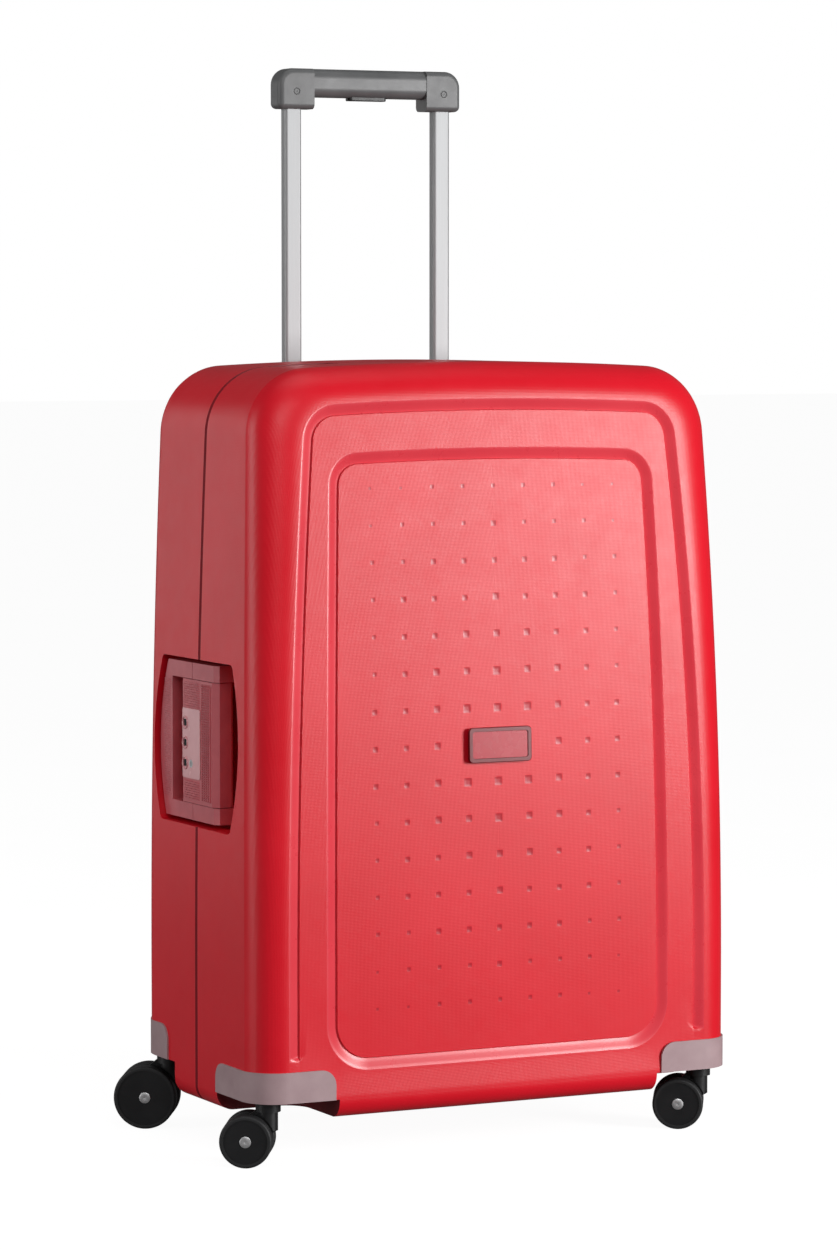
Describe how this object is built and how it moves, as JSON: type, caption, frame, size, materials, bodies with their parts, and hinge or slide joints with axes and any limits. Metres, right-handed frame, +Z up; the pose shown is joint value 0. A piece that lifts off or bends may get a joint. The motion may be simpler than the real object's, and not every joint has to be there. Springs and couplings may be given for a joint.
{
  "type": "hard-shell spinner suitcase",
  "caption": "Upright hard-shell travel suitcase with a side lock, telescopic handle and swivelling twin-wheel casters.",
  "frame": {"origin": "centre of the object's footprint on the floor it stands on", "axes": "+Z up, +Y towards the back where the telescopic handle is, +X to the hinged side, to the right seen from the front"},
  "size_m": [0.5116, 0.2863, 0.962],
  "materials": {
    "shell_red": "injection moulded polypropylene, satin gloss with a fine embossed weave",
    "hinge_red": "smooth moulded polypropylene, satin",
    "trim_grey": "rose grey moulded bumper, satin",
    "lock_pink": "rose grey moulded lock and handle, fine ribs",
    "lock_plate_satin": "satin rose grey plate",
    "badge_metal": "rose metallic plate, brushed",
    "steel": "zinc plated steel",
    "dark_plastic": "black moulded plastic",
    "aluminium": "satin anodised extrusion",
    "grip_grey": "satin grey moulded grip",
    "lining_fabric": "woven polyester lining",
    "strap_webbing": "woven polyester webbing",
    "caster_black": "black glass filled nylon",
    "hub_black": "black moulded wheel face",
    "tyre_rubber": "dark grey thermoplastic tyre"
  },
  "bodies": {
    "back_case": {"back_shell": "shell_red", "hinge_leaves_back": "hinge_red", "hinge_pins": "steel", "corner_guard_back_left": "trim_grey", "corner_guard_back_right": "trim_grey", "latch_keepers": "steel", "carry_handle": "lock_pink", "trolley_housing": "hinge_red", "trolley_housing_screws": "steel", "trolley_channels": "aluminium", "trolley_foot_bracket": "steel", "trolley_collar": "dark_plastic", "caster_back_bearings": "dark_plastic", "caster_back_backing_plates": "steel", "packing_straps": "strap_webbing", "strap_buckles": "dark_plastic"},
    "front_case": {"front_shell": "shell_red", "hinge_leaves_front": "hinge_red", "corner_guard_front_left": "trim_grey", "corner_guard_front_right": "trim_grey", "latch_pins": "steel", "lock_frame": "lock_pink", "lock_pivot_pin": "steel", "badge_frame": "lock_plate_satin", "badge_plate": "badge_metal", "caster_front_bearings": "dark_plastic", "caster_front_backing_plates": "steel", "divider_panel": "lining_fabric"},
    "top_latch": {"top_latch_lever": "lock_pink"},
    "bottom_latch": {"bottom_latch_lever": "lock_pink"},
    "lock": {"lock_lever": "lock_pink", "lock_plate": "lock_plate_satin", "lock_dial_axle": "steel"},
    "dial_1": {"lock_dial_1": "dark_plastic"},
    "dial_2": {"lock_dial_2": "dark_plastic"},
    "dial_3": {"lock_dial_3": "dark_plastic"},
    "key": {"lock_key_cylinder": "steel"},
    "trolley": {"trolley_tubes": "aluminium", "trolley_lock_plugs": "dark_plastic", "trolley_grip": "grip_grey", "trolley_end_cap_left": "grip_grey", "trolley_end_cap_right": "grip_grey"},
    "trolley_release": {"trolley_release_button": "dark_plastic", "trolley_release_bar": "steel"},
    "caster_front_left_swivel": {"caster_front_left_yoke": "caster_black"},
    "caster_front_left_wheels": {"caster_front_left_tyres": "tyre_rubber", "caster_front_left_hubs": "hub_black", "caster_front_left_axle": "steel"},
    "caster_front_right_swivel": {"caster_front_right_yoke": "caster_black"},
    "caster_front_right_wheels": {"caster_front_right_tyres": "tyre_rubber", "caster_front_right_hubs": "hub_black", "caster_front_right_axle": "steel"},
    "caster_back_left_swivel": {"caster_back_left_yoke": "caster_black"},
    "caster_back_left_wheels": {"caster_back_left_tyres": "tyre_rubber", "caster_back_left_hubs": "hub_black", "caster_back_left_axle": "steel"},
    "caster_back_right_swivel": {"caster_back_right_yoke": "caster_black"},
    "caster_back_right_wheels": {"caster_back_right_tyres": "tyre_rubber", "caster_back_right_hubs": "hub_black", "caster_back_right_axle": "steel"}
  },
  "joints": [
    {"name": "case_opens", "type": "hinge", "parent": "back_case", "child": "front_case", "pos_m": [0.2547, -0.0105, 0.145], "axis": [-0.0204, 0, 0.9998], "range_deg": [0, 150]},
    {"name": "top_latch_flips", "type": "hinge", "parent": "front_case", "child": "top_latch", "pos_m": [-0.1195, -0.0201, 0.6892], "axis": [1, 0, 0], "range_deg": [0, 70]},
    {"name": "bottom_latch_flips", "type": "hinge", "parent": "front_case", "child": "bottom_latch", "pos_m": [-0.1195, -0.0201, 0.0438], "axis": [-1, 0, 0], "range_deg": [0, 70]},
    {"name": "lock_lever_pulls", "type": "hinge", "parent": "front_case", "child": "lock", "pos_m": [-0.2045, -0.0325, 0.36], "axis": [0, 0, 1], "range_deg": [0, 35]},
    {"name": "dial_1_turns", "type": "hinge", "parent": "lock", "child": "dial_1", "pos_m": [-0.212, 0.024, 0.34], "axis": [0, 0, 1], "continuous": true},
    {"name": "dial_2_turns", "type": "hinge", "parent": "lock", "child": "dial_2", "pos_m": [-0.212, 0.024, 0.358], "axis": [0, 0, 1], "continuous": true},
    {"name": "dial_3_turns", "type": "hinge", "parent": "lock", "child": "dial_3", "pos_m": [-0.212, 0.024, 0.376], "axis": [0, 0, 1], "continuous": true},
    {"name": "key_turns", "type": "hinge", "parent": "lock", "child": "key", "pos_m": [-0.2185, 0.0115, 0.34], "axis": [-1, 0, 0], "range_deg": [0, 90]},
    {"name": "trolley_slides", "type": "slide", "parent": "back_case", "child": "trolley", "axis": [0, 0, 1], "range_m": [-0.258, 0]},
    {"name": "trolley_button_presses", "type": "slide", "parent": "trolley", "child": "trolley_release", "axis": [0, 0, 1], "range_m": [0, 0.003], "stiffness_N_per_m": 400, "springref_m": -0.003},
    {"name": "caster_front_left_swivels", "type": "hinge", "parent": "front_case", "child": "caster_front_left_swivel", "pos_m": [-0.2025, -0.1145, 0.046], "axis": [0, 0, 1], "continuous": true},
    {"name": "caster_front_left_rolls", "type": "hinge", "parent": "caster_front_left_swivel", "child": "caster_front_left_wheels", "pos_m": [-0.21793, -0.10523, 0.023], "axis": [-0.515, -0.8572, 0], "continuous": true},
    {"name": "caster_front_right_swivels", "type": "hinge", "parent": "front_case", "child": "caster_front_right_swivel", "pos_m": [0.2275, -0.1145, 0.046], "axis": [0, 0, 1], "continuous": true},
    {"name": "caster_front_right_rolls", "type": "hinge", "parent": "caster_front_right_swivel", "child": "caster_front_right_wheels", "pos_m": [0.21207, -0.10523, 0.023], "axis": [-0.515, -0.8572, 0], "continuous": true},
    {"name": "caster_back_left_swivels", "type": "hinge", "parent": "back_case", "child": "caster_back_left_swivel", "pos_m": [-0.2025, 0.1015, 0.057], "axis": [0, 0, 1], "continuous": true},
    {"name": "caster_back_left_rolls", "type": "hinge", "parent": "caster_back_left_swivel", "child": "caster_back_left_wheels", "pos_m": [-0.21964, 0.1118, 0.0285], "axis": [-0.515, -0.8572, 0], "continuous": true},
    {"name": "caster_back_right_swivels", "type": "hinge", "parent": "back_case", "child": "caster_back_right_swivel", "pos_m": [0.2275, 0.1015, 0.057], "axis": [0, 0, 1], "continuous": true},
    {"name": "caster_back_right_rolls", "type": "hinge", "parent": "caster_back_right_swivel", "child": "caster_back_right_wheels", "pos_m": [0.21036, 0.1118, 0.0285], "axis": [-0.515, -0.8572, 0], "continuous": true}
  ]
}
